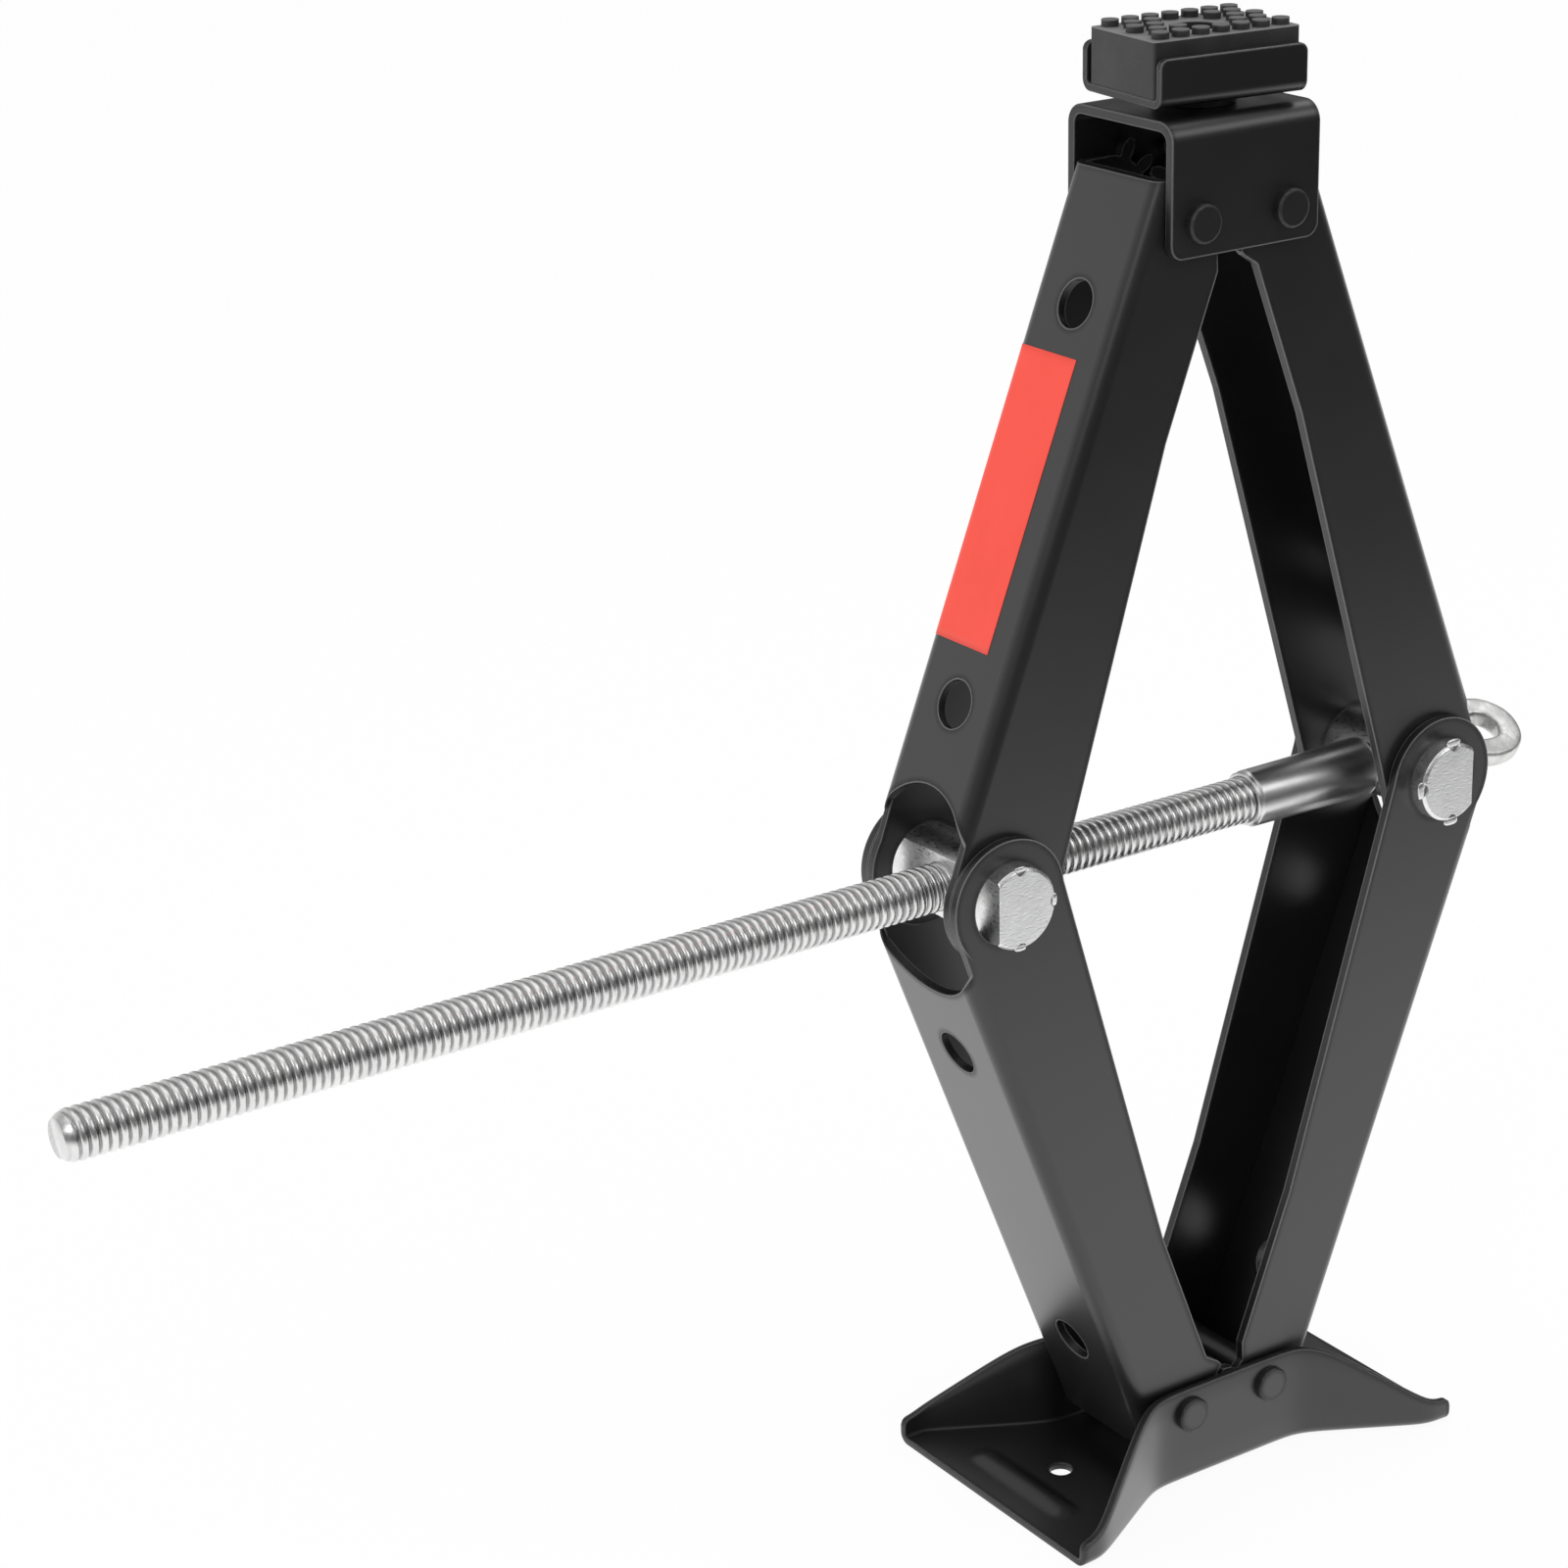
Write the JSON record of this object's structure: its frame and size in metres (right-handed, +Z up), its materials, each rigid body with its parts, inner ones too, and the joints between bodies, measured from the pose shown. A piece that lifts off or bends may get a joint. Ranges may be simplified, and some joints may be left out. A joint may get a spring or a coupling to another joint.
{
  "type": "scissor jack",
  "caption": "Scissor jack with geared channel arms on a pressed base, opened by a cross screw with a crank eye, and a swivelling saddle that holds a studded rubber pad.",
  "frame": {"origin": "on the ground under the middle of the base, halfway between its two pivots", "axes": "+X along the screw towards the crank eye, +Y across the jack, +Z up"},
  "size_m": [0.4207, 0.0792, 0.3777],
  "materials": {
    "black_coat": "satin",
    "zinc_steel": "satin",
    "bright_zinc": "bright",
    "rubber": "matte"
  },
  "bodies": {
    "base": {"base_plate": "black_coat", "base_rivet_left": "black_coat", "base_rivet_right": "black_coat"},
    "lower_left": {"lower_arm_left": "black_coat"},
    "lower_right": {"lower_arm_right": "black_coat"},
    "nut": {"trunnion_nut": "zinc_steel"},
    "block": {"trunnion_block": "zinc_steel", "seat_washer": "zinc_steel"},
    "upper_left": {"upper_arm_left": "black_coat"},
    "upper_right": {"upper_arm_right": "black_coat"},
    "top": {"top_bracket": "black_coat", "top_rivet_left": "black_coat", "top_rivet_right": "black_coat", "saddle_rivet": "black_coat", "saddle_washer": "black_coat"},
    "saddle_head": {"saddle": "black_coat", "rubber_pad": "rubber"},
    "screw": {"lead_screw": "zinc_steel", "stop_sleeve": "bright_zinc", "turning_washer": "zinc_steel"}
  },
  "joints": [
    {"name": "lift", "type": "hinge", "parent": "base", "child": "lower_left", "pos_m": [-0.0134, 0, 0.0202], "axis": [0, 1, 0], "range_deg": [-63, 4]},
    {"name": "lower_right_swing", "type": "hinge", "parent": "base", "child": "lower_right", "pos_m": [0.0134, 0, 0.0202], "axis": [0, 1, 0], "range_deg": [-4, 63]},
    {"name": "nut_level", "type": "hinge", "parent": "lower_left", "child": "nut", "pos_m": [-0.06976, 0, 0.17719], "axis": [0, 1, 0], "range_deg": [-4, 63]},
    {"name": "upper_left_swing", "type": "hinge", "parent": "lower_left", "child": "upper_left", "pos_m": [-0.06976, 0, 0.17719], "axis": [0, 1, 0], "range_deg": [-8, 126]},
    {"name": "top_level", "type": "hinge", "parent": "upper_left", "child": "top", "pos_m": [-0.0134, 0, 0.33418], "axis": [0, 1, 0], "range_deg": [-63, 4]},
    {"name": "block_level", "type": "hinge", "parent": "lower_right", "child": "block", "pos_m": [0.06976, 0, 0.17719], "axis": [0, 1, 0], "range_deg": [-63, 4]},
    {"name": "upper_right_swing", "type": "hinge", "parent": "lower_right", "child": "upper_right", "pos_m": [0.06976, 0, 0.17719], "axis": [0, 1, 0], "range_deg": [-126, 8]},
    {"name": "screw_turn", "type": "hinge", "parent": "block", "child": "screw", "pos_m": [0, 0, 0.17719], "axis": [1, 0, 0], "continuous": true},
    {"name": "saddle_swivel", "type": "hinge", "parent": "top", "child": "saddle_head", "pos_m": [0, 0, 0.36058], "axis": [0, 0, 1], "continuous": true}
  ],
  "couplings": [
    {"joint": "lower_right_swing", "follows": "lift", "ratio": -1},
    {"joint": "nut_level", "follows": "lift", "ratio": -1},
    {"joint": "upper_left_swing", "follows": "lift", "ratio": -2},
    {"joint": "top_level", "follows": "lift", "ratio": 1},
    {"joint": "block_level", "follows": "lift", "ratio": 1},
    {"joint": "upper_right_swing", "follows": "lift", "ratio": 2}
  ]
}
